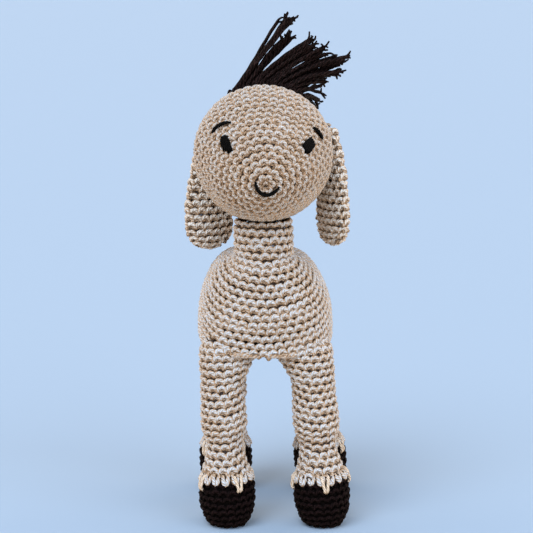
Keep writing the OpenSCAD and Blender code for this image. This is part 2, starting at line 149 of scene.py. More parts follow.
def yarnAlong(bm, path, radii, sides=6, twist=0.0, lobes=0, lobeDeep=0.22):
    # sweeps a ring of yarn along a path and closes both ends
    if not hasattr(radii, "__len__"):
        radii = [radii] * len(path)
    along = bm.verts.layers.float.get("along") or bm.verts.layers.float.new("along")
    around = bm.verts.layers.float.get("around") or bm.verts.layers.float.new("around")
    stations = stationMatrices(path, radii, twist)
    ring = bmesh.ops.create_circle(bm, cap_ends=True, segments=sides, radius=1.0)["verts"]
    for k, v in enumerate(ring):
        v[around] = k / sides
        if lobes:
            v.co *= 1 - lobeDeep * (0.5 - 0.5 * math.cos(2 * math.pi * lobes * k / sides))
    bmesh.ops.transform(bm, matrix=stations[0], verts=ring)
    edges = [e for v in ring[:1] for f in v.link_faces for e in f.edges]
    done = 0.0
    for k in range(1, len(path)):
        done += (Vector(path[k]) - Vector(path[k - 1])).length
        new = bmesh.ops.extrude_edge_only(bm, edges=edges)["geom"]
        verts = [g for g in new if isinstance(g, bmesh.types.BMVert)]
        edges = [g for g in new if isinstance(g, bmesh.types.BMEdge)
                 and g.verts[0] in verts and g.verts[1] in verts]
        bmesh.ops.transform(bm, matrix=stations[k] @ stations[k - 1].inverted(), verts=verts)
        for v in verts:
            v[along] = done
    bmesh.ops.edgeloop_fill(bm, edges=edges)


def finishYarn(bm, name, thick):
    # turns faces outward, lays the UV map along the yarn and makes the mesh
    bmesh.ops.recalc_face_normals(bm, faces=bm.faces)
    along, around = bm.verts.layers.float["along"], bm.verts.layers.float["around"]
    uv = bm.loops.layers.uv.new("yarn")
    for f in bm.faces:
        wraps = max(l.vert[around] for l in f.loops) - min(l.vert[around] for l in f.loops) > 0.5
        for l in f.loops:
            v = l.vert[around] + (1.0 if wraps and l.vert[around] < 0.5 and len(f.verts) == 4 else 0.0)
            l[uv].uv = (l.vert[along] / thick, v)
        f.smooth = True
    mesh = bpy.data.meshes.new(name)
    bm.to_mesh(mesh)
    bm.free()
    return mesh


def addPiece(name, mesh, material, body, scaled=True):
    piece = bpy.data.objects.new(name, mesh)
    if scaled:
        mesh.transform(Matrix.Scale(mm, 4))
    bpy.context.scene.collection.objects.link(piece)
    mesh.materials.clear()
    mesh.materials.append(material)
    if body:
        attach(piece, body)
    return piece


# ---- materials ----

# in each colour set, deep is painted shade in the holes, golden painted warm half shade, middle the yarn's own tone,
# light a cool painted highlight on raised tops, and the last entry pale fibres with painted glints
coatColours = {"deep": (0.120, 0.080, 0.056), "golden": (0.475, 0.305, 0.180),
               "middle": (0.500, 0.490, 0.495), "light": (0.590, 0.685, 0.860), "fleckAndGlint": (0.78, 0.86, 0.98)}
# a warmer, darker copy of the coat yarn: painted warm shade on the head
headColours = {"deep": (0.110, 0.070, 0.045), "golden": (0.440, 0.262, 0.140),
               "middle": (0.450, 0.400, 0.365), "light": (0.555, 0.610, 0.710), "fleckAndGlint": (0.78, 0.82, 0.90)}
# a lighter copy of the coat yarn: painted light on the ears
earColours = {"deep": (0.140, 0.095, 0.068), "golden": (0.550, 0.390, 0.265),
              "middle": (0.700, 0.680, 0.675), "light": (0.830, 0.900, 0.980), "fleckAndGlint": (0.88, 0.94, 1.0)}
# a darker copy of the coat yarn for the ear seams: painted shade in the joins
seamColours = {"deep": (0.060, 0.032, 0.015), "golden": (0.220, 0.130, 0.065),
               "middle": (0.330, 0.235, 0.160), "light": (0.480, 0.400, 0.340), "fleckAndGlint": (0.55, 0.50, 0.45)}
# a lighter copy of the coat yarn for the V stitches: painted light
spikeColours = {"deep": (0.340, 0.220, 0.120), "golden": (0.620, 0.440, 0.290),
                "middle": (0.740, 0.640, 0.540), "light": (0.820, 0.800, 0.790), "fleckAndGlint": (0.90, 0.90, 0.92)}
hoofColours = {"deep": (0.0008, 0.0004, 0.0005), "golden": (0.0020, 0.0008, 0.0010),
               "middle": (0.0042, 0.0017, 0.0021), "light": (0.0130, 0.0055, 0.0068), "fleckAndGlint": (0.026, 0.012, 0.014)}
tuftColours = {"deep": (0.0006, 0.0003, 0.0003), "golden": (0.0016, 0.0006, 0.0006),
               "middle": (0.0034, 0.0016, 0.0017), "light": (0.0410, 0.0200, 0.0200), "fleckAndGlint": (0.055, 0.031, 0.032)}
faceColours = {"deep": (0.0006, 0.0006, 0.0008), "golden": (0.0012, 0.0012, 0.0015),
               "middle": (0.0022, 0.0022, 0.0027), "light": (0.0045, 0.0046, 0.0056), "fleckAndGlint": (0.0090, 0.0095, 0.0120)}


def makeNode(tree, kind, **settings):
    node = tree.nodes.new(kind)
    for key, value in settings.items():
        if key.startswith("in_"):
            node.inputs[int(key[3:])].default_value = value
        else:
            setattr(node, key, value)
    return node


def mathNode(tree, operation, a, b=None, c=None, clamp=False):
    node = tree.nodes.new("ShaderNodeMath")
    node.operation = operation
    node.use_clamp = clamp
    for k, value in enumerate((a, b, c)):
        if value is None:
            continue
        if isinstance(value, (int, float)):
            node.inputs[k].default_value = value
        else:
            tree.links.new(value, node.inputs[k])
    return node.outputs[0]


def yarnMaterial(name, colours, roughness=0.55, sheen=0.45, plies=3, plyTurn=0.42, bumpDepth=0.0006,
                 fleckAndGlintShare=0.14, specular=0.4):
    material = bpy.data.materials.new(name)
    material.use_nodes = True
    tree = material.node_tree
    shader = tree.nodes["Principled BSDF"]
    shader.inputs["Roughness"].default_value = roughness
    shader.inputs["Sheen Weight"].default_value = sheen
    shader.inputs["Sheen Roughness"].default_value = 0.5
    shader.inputs["Sheen Tint"].default_value = (1.0, 0.66, 0.36, 1)
    shader.inputs["Specular IOR Level"].default_value = specular
    uv = makeNode(tree, "ShaderNodeUVMap", uv_map="yarn")
    split = makeNode(tree, "ShaderNodeSeparateXYZ")
    tree.links.new(uv.outputs[0], split.inputs[0])
    lift = makeNode(tree, "ShaderNodeAttribute", attribute_name="lift").outputs["Fac"]
    tint = makeNode(tree, "ShaderNodeAttribute", attribute_name="tint").outputs["Fac"]
    place = makeNode(tree, "ShaderNodeTexCoord").outputs["Object"]
    turned = mathNode(tree, "MULTIPLY_ADD", split.outputs[1], plies * 2 * math.pi,
                      mathNode(tree, "MULTIPLY_ADD", split.outputs[0], plyTurn * plies * 2 * math.pi,
                               mathNode(tree, "MULTIPLY", tint, 20.0)))
    stripe = mathNode(tree, "MULTIPLY_ADD", mathNode(tree, "SINE", turned), 0.5, 0.5)
    fibre = makeNode(tree, "ShaderNodeTexNoise", in_2=1700.0, in_3=2.0)
    tree.links.new(place, fibre.inputs["Vector"])
    mottle = makeNode(tree, "ShaderNodeTexNoise", in_2=260.0, in_3=3.0)
    tree.links.new(place, mottle.inputs["Vector"])
    # how light the yarn is painted here: painted shade on low parts and painted highlights on raised parts and ply
    # tops; random tone and pale fibres are the yarn's own
    level = mathNode(tree, "MULTIPLY_ADD", lift, 0.80, mathNode(tree, "MULTIPLY_ADD", stripe, 0.34, -0.21))
    level = mathNode(tree, "ADD", level, mathNode(tree, "MULTIPLY_ADD", mottle.outputs["Fac"], 0.36, -0.18))
    level = mathNode(tree, "ADD", level, mathNode(tree, "MULTIPLY_ADD", tint, 0.14, -0.05), clamp=True)
    # the ramp runs from painted shade (deep) through painted warm half shade (golden) and the yarn's plain tone
    # (middle) to a cool painted highlight (light)
    ramp = makeNode(tree, "ShaderNodeValToRGB")
    ramp.color_ramp.elements[0].position = 0.06
    ramp.color_ramp.elements[0].color = (*colours["deep"], 1)
    ramp.color_ramp.elements[1].position = 0.98
    ramp.color_ramp.elements[1].color = (*colours["light"], 1)
    ramp.color_ramp.elements.new(0.34).color = (*colours["golden"], 1)
    ramp.color_ramp.elements.new(0.62).color = (*colours["middle"], 1)
    tree.links.new(level, ramp.inputs[0])
    # pale fibres of the yarn, shown only on raised parts and in cool white, so they are partly painted glints
    fleckAndGlint = mathNode(tree, "MULTIPLY_ADD", fibre.outputs["Fac"], 7.0, -7.0 * (0.66 - fleckAndGlintShare), clamp=True)
    fleckAndGlint = mathNode(tree, "MULTIPLY", fleckAndGlint, mathNode(tree, "MULTIPLY", lift, 0.6, clamp=True))
    mix = makeNode(tree, "ShaderNodeMix", data_type="RGBA")
    tree.links.new(fleckAndGlint, mix.inputs["Factor"])
    tree.links.new(ramp.outputs[0], mix.inputs[6])
    mix.inputs[7].default_value = (*colours["fleckAndGlint"], 1)
    tree.links.new(mix.outputs[2], shader.inputs["Base Color"])
    height = mathNode(tree, "MULTIPLY_ADD", fibre.outputs["Fac"], 0.5, stripe)
    bump = makeNode(tree, "ShaderNodeBump", in_0=0.9, in_1=bumpDepth)
    tree.links.new(height, bump.inputs["Height"])
    tree.links.new(bump.outputs[0], shader.inputs["Normal"])
    return material


def coreMaterial(name, dark, speck, speckFrom=0.66, below=None):
    # what shows between the stitches: dark painted shade of the yarn deep in the holes, with specks of the filling
    material = bpy.data.materials.new(name)
    material.use_nodes = True
    tree = material.node_tree
    shader = tree.nodes["Principled BSDF"]
    shader.inputs["Roughness"].default_value = 0.95
    shader.inputs["Specular IOR Level"].default_value = 0.1
    place = makeNode(tree, "ShaderNodeTexCoord").outputs["Object"]
    noise = makeNode(tree, "ShaderNodeTexNoise", in_2=210.0, in_3=3.0)
    fine = makeNode(tree, "ShaderNodeTexNoise", in_2=1500.0, in_3=2.0)
    for node in (noise, fine):
        tree.links.new(place, node.inputs["Vector"])
    share = mathNode(tree, "MULTIPLY_ADD", noise.outputs["Fac"], 12.0, -12.0 * speckFrom, clamp=True)
    mix = makeNode(tree, "ShaderNodeMix", data_type="RGBA")
    tree.links.new(share, mix.inputs["Factor"])
    mix.inputs[6].default_value = (*dark, 1)
    mix.inputs[7].default_value = (*speck, 1)
    shown = mix.outputs[2]
    if below is not None:
        # dark yarn covers the filling below this height
        split = makeNode(tree, "ShaderNodeSeparateXYZ")
        tree.links.new(place, split.inputs[0])
        hoof = makeNode(tree, "ShaderNodeMix", data_type="RGBA")
        tree.links.new(mathNode(tree, "LESS_THAN", split.outputs[2], below), hoof.inputs["Factor"])
        tree.links.new(shown, hoof.inputs[6])
        hoof.inputs[7].default_value = (0.002, 0.001, 0.001, 1)
        shown = hoof.outputs[2]
    tree.links.new(shown, shader.inputs["Base Color"])
    bump = makeNode(tree, "ShaderNodeBump", in_0=0.8, in_1=0.0004)
    tree.links.new(fine.outputs["Fac"], bump.inputs["Height"])
    tree.links.new(bump.outputs[0], shader.inputs["Normal"])
    return material


coatYarn = yarnMaterial("coatYarn", coatColours)
headYarn = yarnMaterial("headYarn", headColours)
hoofYarn = yarnMaterial("hoofYarn", hoofColours, roughness=0.7, sheen=0.0, specular=0.06)
tuftYarn = yarnMaterial("tuftYarn", tuftColours, roughness=0.6, sheen=0.0, plyTurn=0.3, specular=0.06)
faceYarn = yarnMaterial("faceYarn", faceColours, roughness=0.6, sheen=0.0, specular=0.04)
# the dark core colours are painted shade seen through the holes; the torso's is a warmer brown for painted warm shade
# under its stitches
coatCore = coreMaterial("coatCore", (0.045, 0.034, 0.033), (0.36, 0.42, 0.54))
torsoCore = coreMaterial("torsoCore", (0.055, 0.038, 0.031), (0.36, 0.42, 0.54))
legCore = coreMaterial("legCore", (0.045, 0.034, 0.033), (0.36, 0.42, 0.54), below=0.0225)
earYarn = yarnMaterial("earYarn", earColours)
seamYarn = yarnMaterial("seamYarn", seamColours)
spikeYarn = yarnMaterial("spikeYarn", spikeColours)
print("materials made")

# ---- one stitch ----

# a stitch as it shows: an arch of yarn whose feet go under the round below it, and the
# strand inside the arch
stitchValues = {"sides": 5, "stations": 9, "halfWide": 2.3, "foot": -1.95, "peak": 1.0,
                "footDeep": -1.9, "peakDeep": -0.62, "thick": 2.2,
                "strandAt": -0.6, "strandDeep": -1.35, "strandThick": 1.75}


def archPath(values, skew):
    path = []
    for k in range(values["stations"]):
        t = 2 * k / (values["stations"] - 1) - 1
        side = math.copysign(abs(t) ** 0.72, t)
        drop = abs(t) ** 1.9
        path.append((values["halfWide"] * side, values["peak"] + (values["foot"] - values["peak"]) * drop
                     + skew * t, values["peakDeep"] + (values["footDeep"] - values["peakDeep"]) * drop ** 1.6))
    return path


def makeStitch(values, skew=0.25, strand=True):
    bm = bmesh.new()
    half = values["thick"] / 2
    radii = [half * (1 - 0.16 * abs(2 * k / (values["stations"] - 1) - 1) ** 3)
             for k in range(values["stations"])]
    yarnAlong(bm, archPath(values, skew), radii, values["sides"])
    # lift: how far a point of the arch stands out; the yarn material paints shade on low points and highlight on high
    # ones
    lift = bm.verts.layers.float.new("lift")
    for v in bm.verts:
        v[lift] = min(1.0, max(0.0, (v.co.z + 1.75) / 2.1)) ** 1.35
    if strand:
        old = set(bm.verts)
        y, z = values["strandAt"], values["strandDeep"]
        yarnAlong(bm, [(-1.6, y - 1.1, z - 0.35), (-0.75, y - 0.15, z), (0.75, y - 0.1, z), (1.6, y - 1.0, z - 0.35)],
                  values["strandThick"] / 2, 4)
        # the inner strand gets a low lift, so it is painted in shade
        for v in bm.verts:
            if v not in old:
                v[lift] = 0.22 + 0.25 * min(1, max(0, (v.co.z - z) / values["strandThick"] + 0.5))
    bm.verts.layers.float.new("tint")
    return finishYarn(bm, "stitch", values["thick"])


def readTemplate(mesh):
    return {"mesh": mesh, "co": np.array([v.co[:] for v in mesh.vertices])}


loopValues = {**stitchValues, "halfWide": 1.3, "foot": -2.9, "peak": 1.7, "footDeep": -1.4, "peakDeep": -0.25,
              "thick": 2.2}
coatStitches = [readTemplate(makeStitch(stitchValues, skew)) for skew in (0.15, 0.30, 0.42)]
loopStitches = [readTemplate(makeStitch(loopValues, skew, strand=False)) for skew in (-0.2, 0.25)]
hoofStitches = [readTemplate(makeStitch(stitchValues, skew, strand=False)) for skew in (0.15, 0.35)]


def layStitches(name, sets, placeSets, material, body, seed=1, jitter=(0.11, 4.0, 0.05)):
    # one copy of a set's template at each place: point, across, upward and outward ways, and scales
    rng = np.random.default_rng(seed)
    bm = bmesh.new()
    order = [(templates, places, k) for templates, places in zip(sets, placeSets) for k in range(len(places[0]))]
    for templates, (point, across, upward, outward, wide, tall), k in order:
        template = templates[rng.integers(len(templates))]
        turn = math.radians(rng.normal(0, jitter[1]))
        grow = 1 + min(0.1, max(-0.1, rng.normal(0, jitter[2])))
        x, y, z = template["co"].T
        lx = (x * math.cos(turn) - y * math.sin(turn)) * wide[k] * grow + rng.normal(0, jitter[0])
        ly = (x * math.sin(turn) + y * math.cos(turn)) * tall[k] * grow + rng.normal(0, jitter[0])
        lz = z + rng.normal(0, jitter[0] * 0.6)
        co = point[k] + np.outer(lx, across[k]) + np.outer(ly, upward[k]) + np.outer(lz, outward[k])
        stamp = template["mesh"]
        stamp.vertices.foreach_set("co", co.ravel())
        stamp.attributes["tint"].data.foreach_set("value", np.full(len(x), rng.uniform(0, 1)))
        bm.from_mesh(stamp)
    mesh = bpy.data.meshes.new(name)
    bm.to_mesh(mesh)
    bm.free()
    return addPiece(name, mesh, material, body)


# ---- rounds of stitches on a surface ----

def samplePath(points, s, at):
    return np.stack([np.interp(at, s, points[:, k]) for k in range(3)], -1)


def layRounds(grid, gap, pitch, upSign, firstGap=0.5, keep=None, drift=0.35, outSign=1.0, spiral=True):
    # grid[m][n] runs from the first round's edge (m) and once round the piece (n). Returns the
    # places of the stitches: rounds are an even way apart along each column of the grid.
    count = grid.shape[1]
    s = np.concatenate([np.zeros((1, count)), np.cumsum(np.linalg.norm(np.diff(grid, axis=0), axis=2), 0)])
    total = s[-1]
    found = []
    row = 0
    while (row + firstGap) * gap < total.max():
        slope = np.arange(count) / count * gap if spiral else np.zeros(count)
        around = np.arange(count) / count * 2 * math.pi
        wobble = 0.16 * np.sin(3 * around + 1.7 * row) + 0.14 * np.sin(5 * around - 2.3 * row)
        d = (row + firstGap) * gap + slope - (gap / 2 if spiral else 0) + (wobble if row else 0)
        valid = (d > 0) & (d < total)
        here = np.stack([samplePath(grid[:, n], s[:, n], np.clip(d[n], 0, total[n])) for n in range(count)])
        ahead = np.stack([samplePath(grid[:, n], s[:, n], np.clip(d[n] + 1.0, 0, total[n])) for n in range(count)])
        behind = np.stack([samplePath(grid[:, n], s[:, n], np.clip(d[n] - 1.0, 0, total[n])) for n in range(count)])
        down = unitRows(ahead - behind)
        loop = np.concatenate([here, here[:1]])
        arc = np.concatenate([[0], np.cumsum(np.linalg.norm(np.diff(loop, axis=0), axis=1))])
        length = arc[-1]
        number = max(6, round(length / pitch))
        at = ((np.arange(number) + (row * drift) % 1.0) / number) * length
        p = samplePath(loop, arc, at)
        e = length / number * 0.4
        t = unitRows(samplePath(loop, arc, (at + e) % length) - samplePath(loop, arc, (at - e) % length))
        v = samplePath(np.concatenate([down, down[:1]]), arc, at)
        v = unitRows(v - t * (v * t).sum(1, keepdims=True))
        ok = np.interp(at, arc, np.concatenate([valid, valid[:1]]).astype(float)) > 0.5
        normal = unitRows(np.cross(t, v)) * outSign
        if keep is not None:
            ok &= keep(p, normal)
        found.append((p[ok], t[ok] * outSign * upSign, v[ok] * upSign, normal[ok],
                      np.full(ok.sum(), length / number / yarnValues["stitchWide"]),
                      np.full(ok.sum(), gap / yarnValues["roundGap"])))
        row += 1
    return [np.concatenate(k) for k in zip(*found)]


def spinGrid(profile, place, turn, columns=72):
    # profile is a list of (radius, height) in the frame given by place and turn
    a = np.arange(columns) / columns * 2 * math.pi
    r, h = np.array(profile).T
    local = np.stack([r[:, None] * np.cos(a), r[:, None] * np.sin(a), np.broadcast_to(h[:, None], (len(r), columns))], -1)
    return local @ np.array(turn.to_3x3()).T + np.array(place)



def core(name, node, grow, material, body, lowest=None, tuck=None):
    # a copy of a CAD node, merged and moved in or out along its normals, behind the stitches
    bm = bmesh.new()
    bm.from_mesh(nodes[node].data)
    bmesh.ops.remove_doubles(bm, verts=bm.verts, dist=1e-6)
    bm.normal_update()
    for v in bm.verts:
        v.co += v.normal * grow * mm
        if lowest is not None and v.co.z < lowest * mm:
            v.co.z = lerp(lowest * mm, v.co.z, 0.1)
        if tuck:
            v.co.y += float(tuck(v.co.y / mm, v.co.z / mm)) * mm
    mesh = bpy.data.meshes.new(name)
    bm.to_mesh(mesh)
    bm.free()
    piece = addPiece(name, mesh, material, body, scaled=False)
    return piece


def pieceTree(piece):
    # a surface to cast rays on, from a finished piece
    mesh = piece.data
    return BVHTree.FromPolygons([v.co for v in mesh.vertices], [f.vertices[:] for f in mesh.polygons])


def ease(t):
    return (1 - np.cos(np.pi * np.clip(t, 0, 1))) / 2


def bow(x, power):
    return np.maximum(0, 1 - np.power(x, power)) ** (1 / power)


def lerp(a, b, t):
    return a + (b - a) * t


# ---- head ----

headValues = {"centre": (-3.45, -24.9, 174.946), "tilt": 14.5, "yaw": 1.5, "radius": 32.2,
              "snout": 4.5, "snoutSpread": 28, "cheek": 2.2, "cheekAt": 66, "cheekSpread": 22,
              "roundGap": 3.5, "stitchWide": 4.2}
headTurn = (Matrix.Rotation(math.radians(headValues["yaw"]), 4, "Z")
            @ Matrix.Rotation(math.radians(90 + headValues["tilt"]), 4, "X"))


def headAt(a):
    v = headValues
    return (v["radius"] + v["snout"] * math.exp(-(a / v["snoutSpread"]) ** 2)
            - v["cheek"] * math.exp(-((a - v["cheekAt"]) / v["cheekSpread"]) ** 2))


def headPoint(a, around, lift=0.0):
    # a point on the head, in degrees from the muzzle and round it, raised by lift
    r = headAt(a) + lift
    a, around = math.radians(a), math.radians(around)
    return Vector(headValues["centre"]) + headTurn.to_3x3() @ Vector(
        (r * math.sin(a) * math.cos(around), r * math.sin(a) * math.sin(around), r * math.cos(a)))


def liftHead(point, lift):
    # moves a point beside the head to the given height above its surface
    way = Vector(point) - Vector(headValues["centre"])
    axis = headTurn.to_3x3() @ Vector((0, 0, 1))
    a = math.degrees(way.angle(axis))
    return Vector(headValues["centre"]) + way.normalized() * (headAt(a) + lift)


headProfile = [(headAt(a) * math.sin(math.radians(a)), headAt(a) * math.cos(math.radians(a)))
               for a in np.linspace(0, 180, 91)]
headGrid = spinGrid(headProfile, headValues["centre"], headTurn)
headPlaces = layRounds(headGrid, headValues["roundGap"], headValues["stitchWide"], upSign=1.0,
                       firstGap=0.86, outSign=-1.0, spiral=False)
# one small stitch closes the ring at the tip of the muzzle
poleWays = [np.array(headTurn.to_3x3().col[k])[None] for k in range(3)]
polePlaces = [np.array(headPoint(0, 0, -0.4))[None], *poleWays, np.array([0.5]), np.array([0.62])]
headCoat = layStitches("headCoat", [coatStitches, coatStitches], [headPlaces, polePlaces], headYarn, "head",
                       seed=11, jitter=(0.08, 3.0, 0.04))
headFill = core("headFilling", "head_stuffing", 1.75, coatCore, "head")
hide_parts("head_shell")
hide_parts("head_stuffing")
headTree = pieceTree(headCoat)
print("head:", len(headPlaces[0]), "stitches")

# ---- torso ----

torsoValues = {"side": -1.2, "neckRadius": 13.6, "halfWidth": 32, "chest": 16, "rump": 76,
               "wideZ": 97, "bellyRise": 14, "backRise": 31.5, "rimZ": 142.2, "rumpSide": -1.5,
               "roundGap": 3.6, "stitchWide": 4.45, "columns": 144,
               "tuck": 4.5, "tuckFrom": 105, "tuckTo": 85, "tuckEdge": 9, "lowTall": 0.15, "lowTallFrom": 113}
frameShift = np.array([-2.25, -24.9, 0.0])


def tuckIn(y, z):
    # how far the chest and the rump draw back above the legs, along y
    v = torsoValues
    fore = frameShift[1] - v["chest"] + v["tuckEdge"]
    aft = frameShift[1] + v["rump"] - v["tuckEdge"]
    share = np.clip((fore - y) / v["tuckEdge"], 0, 1) - np.clip((y - aft) / v["tuckEdge"], 0, 1)
    return v["tuck"] * share * ease((v["tuckFrom"] - z) / (v["tuckFrom"] - v["tuckTo"]))


def bodyRing(w, l, z):
    v = torsoValues
    a = np.arange(v["columns"]) / v["columns"] * 2 * math.pi
    power = lerp(2, 2.7, l)
    bend = lambda x: np.sign(x) * np.abs(x) ** (2 / power)
    front, back = -lerp(v["neckRadius"], v["chest"], w), lerp(v["neckRadius"], v["rump"], l)
    y = (front + back) / 2 + (back - front) / 2 * bend(np.sin(a))
    side = v["side"] * ease((z - v["wideZ"]) / (v["rimZ"] - v["wideZ"]))
    x = side + lerp(v["neckRadius"], v["halfWidth"], w) * bend(np.cos(a)) + v["rumpSide"] * y / v["rump"]
    return np.stack([x, y, np.full(len(a), z)], 1) + frameShift


def smoothColumns(grid, rounds, fixed=0):
    # rounds off sharp turns along the columns of a grid
    for _ in range(rounds):
        grid[1:-1] = grid[1:-1] * 0.5 + (grid[:-2] + grid[2:]) * 0.25
    return grid


v = torsoValues
upperRings = [bodyRing(0, 0, z) for z in np.linspace(v["rimZ"], v["wideZ"] + v["backRise"] + 0.3, 9)]
for a in np.radians(np.linspace(88, 0, 40)):
    rise = math.sin(a) ** (2 / 3)
    upperRings.append(bodyRing(float(bow(rise, 1.6)), float(bow(rise, 3)), v["wideZ"] + v["backRise"] * rise))
lowerRings = [bodyRing(math.cos(a) ** 0.25, math.cos(a) ** 0.25, v["wideZ"] - v["bellyRise"] * math.sin(a) ** 0.25)
              for a in np.radians(np.linspace(0, 1, 8) ** 2 * 60)]
lowerRings += [bodyRing(s, s, v["wideZ"] - v["bellyRise"] * float(bow(s, 8))) for s in np.linspace(0.8, 0.03, 24)]
torsoGrid = smoothColumns(np.stack(upperRings + lowerRings[1:]), 5)
torsoGrid[..., 1] += tuckIn(torsoGrid[..., 1], torsoGrid[..., 2])

legValues = {"hipZ": 82, "hipR": 10.2, "thighR": 10, "thighZ": 66, "shinR": 10.8, "shinZ": 50,
             "ankleR": 8.4, "ankleZ": 38.5, "hoofR": 13.1, "hoofWideZ": 16, "hoofUnder": 3, "yarnChangeZ": 23.5,
             "gusset": (4.6, 4.6), "loopsUp": 2.2,
             "legs": {"front_left": (18.75, -24.9, 4.5, 9), "front_right": (-23.25, -24.9, 2.2, 28),
                      "rear_left": (18.75, 35.1, 5.5, 58), "rear_right": (-23.25, 35.1, 0.5, 40)}}


def legAt(h):
    v = legValues
    if h > v["hipZ"]:
        return math.sqrt(max(0, v["hipR"] ** 2 - (h - v["hipZ"]) ** 2))
    if h > v["thighZ"]:
        return lerp(v["thighR"], v["hipR"], float(ease((h - v["thighZ"]) / (v["hipZ"] - v["thighZ"]))))
    if h > v["shinZ"]:
        return lerp(v["shinR"], v["thighR"], float(ease((h - v["shinZ"]) / (v["thighZ"] - v["shinZ"]))))
    if h > v["ankleZ"]:
        return lerp(v["ankleR"], v["shinR"], float(ease((h - v["ankleZ"]) / (v["shinZ"] - v["ankleZ"]))))
    if h > v["hoofWideZ"]:
        return lerp(v["ankleR"], v["hoofR"], float(ease((v["ankleZ"] - h) / (v["ankleZ"] - v["hoofWideZ"]))) ** 0.8)
    return v["hoofR"] * float(bow((v["hoofWideZ"] - h) / (v["hoofWideZ"] + v["hoofUnder"]), 2.3))


legRadii = np.array([legAt(h) for h in range(0, 94)])


def outsideLegs(p, normal):
    # false for stitches that would lie inside the top of a leg
    ok = np.ones(len(p), bool)
    for x, y, lean, _ in legValues["legs"].values():
        middle = x + (legValues["hipZ"] - p[:, 2]) * math.tan(math.radians(lean))
        far = np.hypot(p[:, 0] - middle, p[:, 1] - y)
        ok &= (far > np.interp(p[:, 2], np.arange(94), legRadii) - 0.2) | (p[:, 2] > 91)
    return ok


v = torsoValues
torsoPlaces = layRounds(torsoGrid, v["roundGap"], v["stitchWide"], upSign=-1.0, firstGap=0.35, outSign=-1.0,
                        keep=outsideLegs, spiral=False)
# the lowest rounds are worked tighter, so their stitches stand taller in their rounds
torsoPlaces[5] = torsoPlaces[5] * (1 + v["lowTall"] * ease((v["lowTallFrom"] - torsoPlaces[0][:, 2]) / 18))
torsoCoat = layStitches("torsoCoat", [coatStitches], [torsoPlaces], coatYarn, "torso", seed=23)
torsoFill = core("torsoFilling", "body_stuffing", 2.0, torsoCore, "torso", lowest=85, tuck=lambda y, z: 1.7 * tuckIn(y, z))
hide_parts("body_shell")
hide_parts("body_stuffing")
print("torso:", len(torsoPlaces[0]), "stitches")

# ---- legs and hooves ----

for number, (legName, (x, y, lean, spikeTurn)) in enumerate(legValues["legs"].items()):
    hip = np.array([x, y, legValues["hipZ"]])
    turn = Matrix.Rotation(-math.radians(lean), 4, "Y")
    change = legValues["yarnChangeZ"]
    coatEnd = change + legValues["loopsUp"]
    legProfile = [(legAt(h), h - legValues["hipZ"]) for h in np.linspace(89.5, coatEnd, 60)]
    hoofProfile = [(legAt(h) - 0.3 * ease((h - change) / 2), h - legValues["hipZ"])
                   for h in np.linspace(coatEnd, 0, 40)]
    hoofProfile += [(legAt(0) * s, -legValues["hipZ"]) for s in np.linspace(0.9, 0.05, 6)]
    legGrid = spinGrid(legProfile, hip, turn, 48)
    # the top of the leg swells towards the crotch
    swell = np.clip((legGrid[..., 2] - 69) / 10, 0, 1.3) ** 1.15
    swell = swell * np.clip(-np.sign(x) * (legGrid[..., 0] - x) / 10, 0, 1)
    legGrid[..., 0] += -np.sign(x) * legValues["gusset"][x > 0] * swell
    hoofGrid = spinGrid(hoofProfile, hip, turn, 48)
    hoofGrid[..., 2] = np.maximum(hoofGrid[..., 2], 0.75)
    body = legName + "_leg"
    places = layRounds(legGrid, 3.6, 4.35, upSign=-1.0, firstGap=0.4, outSign=-1.0, spiral=False)
    # the round at the change of yarn hangs over the hoof in loops
    edgeProfile = [(legAt(h) + 0.3, h - legValues["hipZ"]) for h in np.linspace(change + 2.3, change - 1.5, 12)]
    edge = layRounds(spinGrid(edgeProfile, hip, turn, 48), 3.8, 4.8, upSign=1.0, firstGap=0.42, drift=0.0,
                     outSign=-1.0, spiral=False)
    coat = layStitches("legCoat." + legName, (coatStitches, loopStitches), (places, edge), coatYarn, None,
                       seed=40 + number)
    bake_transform(coat, "torso", body, start=(x * mm, y * mm, 0.088), end=(x * mm, y * mm, 0.066))
    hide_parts("leg_" + legName)
    hoofPlaces = layRounds(hoofGrid, 3.3, 4.1, upSign=-1.0, firstGap=0.3, outSign=-1.0, spiral=False)
    hoof = layStitches("hoof." + legName, [hoofStitches], [hoofPlaces], hoofYarn, body, seed=60 + number)
    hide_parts("hoof_" + legName)
    filling = core("legFilling." + legName, "leg_stuffing_" + legName, 1.6, legCore, body)
    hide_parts("leg_stuffing_" + legName)
print("legs: done")

# ---- ears and tail ----

earValues = {"left": {"pivot": (24.396, -10.712, 187.446), "turn": -59, "slant": 0},
             "right": {"pivot": (-28.514, -2.332, 183.946), "turn": 25, "slant": -2},
             "roundGap": 3.55, "stitchWide": 4.2}


def nodeRings(node, placement, columns=48):
    # the rings of a lofted node, read as even ovals: half width, half thickness, middle, height
    inverse = placement.inverted()
    found = np.array([(inverse @ (Vector(vert.co) / mm))[:] for vert in nodes[node].data.vertices])
    found = found[np.argsort(-found[:, 2], kind="stable")]
    grid = []
    a = np.arange(columns) / columns * 2 * math.pi
    for ring in np.split(found, np.nonzero(np.diff(found[:, 2]) < -0.3)[0] + 1):
        low, high = ring.min(0), ring.max(0)
        grid.append(np.stack([(low[0] + high[0]) / 2 + (high[0] - low[0]) / 2 * np.cos(a),
                              (low[1] + high[1]) / 2 + (high[1] - low[1]) / 2 * np.sin(a),
                              np.full(columns, ring[:, 2].mean())], 1))
    return grid


